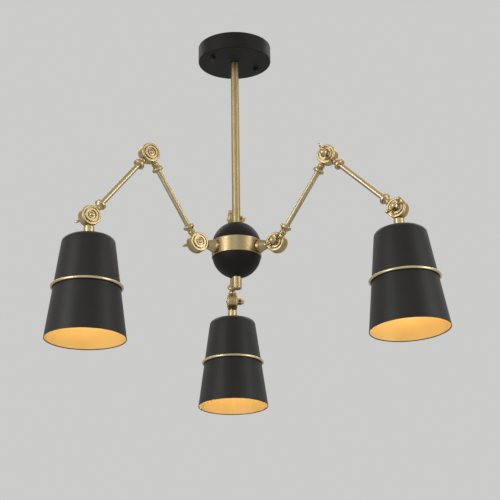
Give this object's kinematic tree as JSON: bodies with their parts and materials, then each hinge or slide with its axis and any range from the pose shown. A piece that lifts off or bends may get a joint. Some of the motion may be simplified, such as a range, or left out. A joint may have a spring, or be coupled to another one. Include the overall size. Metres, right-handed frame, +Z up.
{
  "type": "swing-arm chandelier",
  "caption": "Ceiling chandelier on a brass downrod, with jointed brass arms around a banded black ball and tilting black cone shades, locked by wing nuts.",
  "frame": {"origin": "centre of the ceiling face, on the downrod's axis", "axes": "+Z up through the ceiling, +X to the right and +Y away from the camera in the picture; the rear arm lies along +Y"},
  "size_m": [0.6862, 0.6276, 0.6308],
  "materials": {
    "brass": "satin",
    "dark_paint": "matte",
    "steel": "satin",
    "plastic": "matte",
    "pale_plastic": "matte",
    "bulb_glass": "frosted"
  },
  "bodies": {
    "centre": {"ceiling_bracket": "steel", "bracket_studs": "steel", "canopy": "dark_paint", "canopy_cap_nuts": "dark_paint", "rod_nipple": "steel", "rod_lock_nut": "steel", "terminal_block": "pale_plastic", "downrod": "brass", "upper_dome": "dark_paint", "belt_ring": "brass", "lower_dome": "dark_paint", "tie_nipple": "steel", "bottom_finial": "brass", "knuckle_lock_nuts": "steel", "base_bolts": "brass", "rear_base_knuckle": "brass", "left_base_knuckle": "brass", "right_base_knuckle": "brass"},
    "rear_inner_link": {"rear_inner_tube": "brass", "rear_inner_knuckles": "brass"},
    "rear_outer_link": {"rear_outer_tube": "brass", "rear_outer_knuckles": "brass", "rear_outer_bolts": "brass"},
    "rear_shade_head": {"rear_shade_knuckle": "brass", "rear_shade": "dark_paint", "rear_shade_ring": "brass", "rear_lamp_holder": "plastic", "rear_bulb": "bulb_glass"},
    "rear_base_wing": {"rear_base_wing_nut": "brass"},
    "rear_elbow_wing": {"rear_elbow_wing_nut": "brass"},
    "rear_shade_wing": {"rear_shade_wing_nut": "brass"},
    "left_inner_link": {"left_inner_tube": "brass", "left_inner_knuckles": "brass"},
    "left_outer_link": {"left_outer_tube": "brass", "left_outer_knuckles": "brass", "left_outer_bolts": "brass"},
    "left_shade_head": {"left_shade_knuckle": "brass", "left_shade": "dark_paint", "left_shade_ring": "brass", "left_lamp_holder": "plastic", "left_bulb": "bulb_glass"},
    "left_base_wing": {"left_base_wing_nut": "brass"},
    "left_elbow_wing": {"left_elbow_wing_nut": "brass"},
    "left_shade_wing": {"left_shade_wing_nut": "brass"},
    "right_inner_link": {"right_inner_tube": "brass", "right_inner_knuckles": "brass"},
    "right_outer_link": {"right_outer_tube": "brass", "right_outer_knuckles": "brass", "right_outer_bolts": "brass"},
    "right_shade_head": {"right_shade_knuckle": "brass", "right_shade": "dark_paint", "right_shade_ring": "brass", "right_lamp_holder": "plastic", "right_bulb": "bulb_glass"},
    "right_base_wing": {"right_base_wing_nut": "brass"},
    "right_elbow_wing": {"right_elbow_wing_nut": "brass"},
    "right_shade_wing": {"right_shade_wing_nut": "brass"}
  },
  "joints": [
    {"name": "rear_base_lift", "type": "hinge", "parent": "centre", "child": "rear_inner_link", "pos_m": [0, 0.0828, -0.41125], "axis": [1, 0, 0], "range_deg": [-78.6, 36.4]},
    {"name": "rear_elbow_fold", "type": "hinge", "parent": "rear_inner_link", "child": "rear_outer_link", "pos_m": [0, 0.20356, -0.27428], "axis": [-1, 0, 0], "range_deg": [-81.2, 38.8]},
    {"name": "rear_shade_tilt", "type": "hinge", "parent": "rear_outer_link", "child": "rear_shade_head", "pos_m": [0, 0.32668, -0.40912], "axis": [1, 0, 0], "range_deg": [-60, 75]},
    {"name": "rear_base_wing_turn", "type": "hinge", "parent": "centre", "child": "rear_base_wing", "pos_m": [0, 0.0828, -0.41125], "axis": [1, 0, 0], "range_deg": [0, 180]},
    {"name": "rear_elbow_wing_turn", "type": "hinge", "parent": "rear_outer_link", "child": "rear_elbow_wing", "pos_m": [0, 0.20356, -0.27428], "axis": [1, 0, 0], "range_deg": [0, 180]},
    {"name": "rear_shade_wing_turn", "type": "hinge", "parent": "rear_outer_link", "child": "rear_shade_wing", "pos_m": [0, 0.32668, -0.40912], "axis": [1, 0, 0], "range_deg": [0, 180]},
    {"name": "left_base_lift", "type": "hinge", "parent": "centre", "child": "left_inner_link", "pos_m": [-0.07171, -0.0414, -0.41125], "axis": [-0.5, 0.866, 0], "range_deg": [-86.7, 28.3]},
    {"name": "left_elbow_fold", "type": "hinge", "parent": "left_inner_link", "child": "left_outer_link", "pos_m": [-0.15853, -0.09153, -0.25863], "axis": [0.5, -0.866, 0], "range_deg": [-92.7, 27.3]},
    {"name": "left_shade_tilt", "type": "hinge", "parent": "left_outer_link", "child": "left_shade_head", "pos_m": [-0.25805, -0.14898, -0.40053], "axis": [-0.5, 0.866, 0], "range_deg": [-60, 75]},
    {"name": "left_base_wing_turn", "type": "hinge", "parent": "centre", "child": "left_base_wing", "pos_m": [-0.07171, -0.0414, -0.41125], "axis": [-0.5, 0.866, 0], "range_deg": [0, 180]},
    {"name": "left_elbow_wing_turn", "type": "hinge", "parent": "left_outer_link", "child": "left_elbow_wing", "pos_m": [-0.15853, -0.09153, -0.25863], "axis": [-0.5, 0.866, 0], "range_deg": [0, 180]},
    {"name": "left_shade_wing_turn", "type": "hinge", "parent": "left_outer_link", "child": "left_shade_wing", "pos_m": [-0.25805, -0.14898, -0.40053], "axis": [-0.5, 0.866, 0], "range_deg": [0, 180]},
    {"name": "right_base_lift", "type": "hinge", "parent": "centre", "child": "right_inner_link", "pos_m": [0.07171, -0.0414, -0.41125], "axis": [-0.5, -0.866, 0], "range_deg": [-84.6, 30.4]},
    {"name": "right_elbow_fold", "type": "hinge", "parent": "right_inner_link", "child": "right_outer_link", "pos_m": [0.16331, -0.09429, -0.2624], "axis": [0.5, 0.866, 0], "range_deg": [-84.2, 35.8]},
    {"name": "right_shade_tilt", "type": "hinge", "parent": "right_outer_link", "child": "right_shade_head", "pos_m": [0.27591, -0.1593, -0.39062], "axis": [-0.5, -0.866, 0], "range_deg": [-60, 75]},
    {"name": "right_base_wing_turn", "type": "hinge", "parent": "centre", "child": "right_base_wing", "pos_m": [0.07171, -0.0414, -0.41125], "axis": [-0.5, -0.866, 0], "range_deg": [0, 180]},
    {"name": "right_elbow_wing_turn", "type": "hinge", "parent": "right_outer_link", "child": "right_elbow_wing", "pos_m": [0.16331, -0.09429, -0.2624], "axis": [-0.5, -0.866, 0], "range_deg": [0, 180]},
    {"name": "right_shade_wing_turn", "type": "hinge", "parent": "right_outer_link", "child": "right_shade_wing", "pos_m": [0.27591, -0.1593, -0.39062], "axis": [-0.5, -0.866, 0], "range_deg": [0, 180]}
  ]
}
